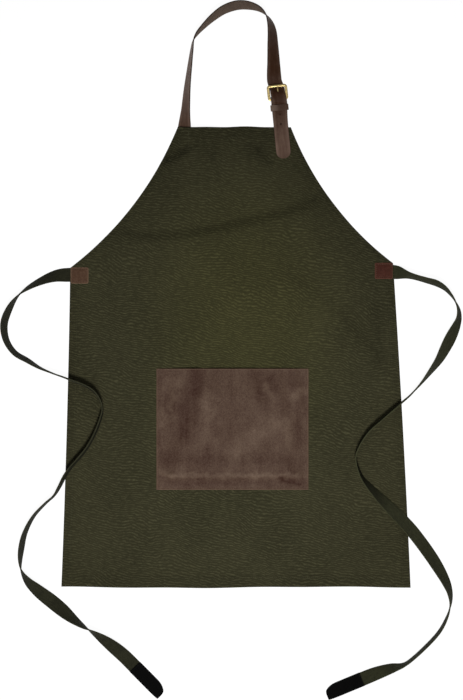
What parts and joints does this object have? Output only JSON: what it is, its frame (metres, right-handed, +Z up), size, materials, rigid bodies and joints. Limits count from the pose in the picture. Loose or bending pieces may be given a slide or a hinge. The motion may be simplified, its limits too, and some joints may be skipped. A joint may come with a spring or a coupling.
{
  "type": "canvas work apron",
  "caption": "Bib apron of heavy canvas lying flat, with a buckled leather neck strap, a leather patch pocket, leather waist corners and long free ties that end in tabs.",
  "frame": {"origin": "on the surface that the apron lies on, under the middle of its length and width, ties left out", "axes": "+Y from the hem up to the neck strap, +X towards the buckle's side as seen from above, +Z up off the surface"},
  "size_m": [0.8526, 1.2903, 0.0291],
  "materials": {
    "canvas": "matt ribbed canvas, dark olive",
    "tie_tape": "matt woven cotton tape, dark olive",
    "pocket_leather": "pebbled leather, warm dark brown, low sheen",
    "strap_leather": "smooth strap leather, dark brown, soft sheen",
    "patch_leather": "smooth leather, reddish dark brown",
    "brass": "polished pale brass",
    "tab": "black hooked and looped fastening tab"
  },
  "bodies": {
    "root": {"canvas_panel": "canvas", "leather_pocket": "pocket_leather", "corner_patch_left": "patch_leather", "corner_patch_right": "patch_leather", "neck_strap": "strap_leather", "buckle_strap": "strap_leather", "strap_keeper": "strap_leather", "buckle_frame": "brass", "buckle_prong": "brass", "tie_left": "tie_tape", "tie_right": "tie_tape", "tie_tip_left": "tab", "tie_tip_right": "tab"}
  },
  "joints": []
}
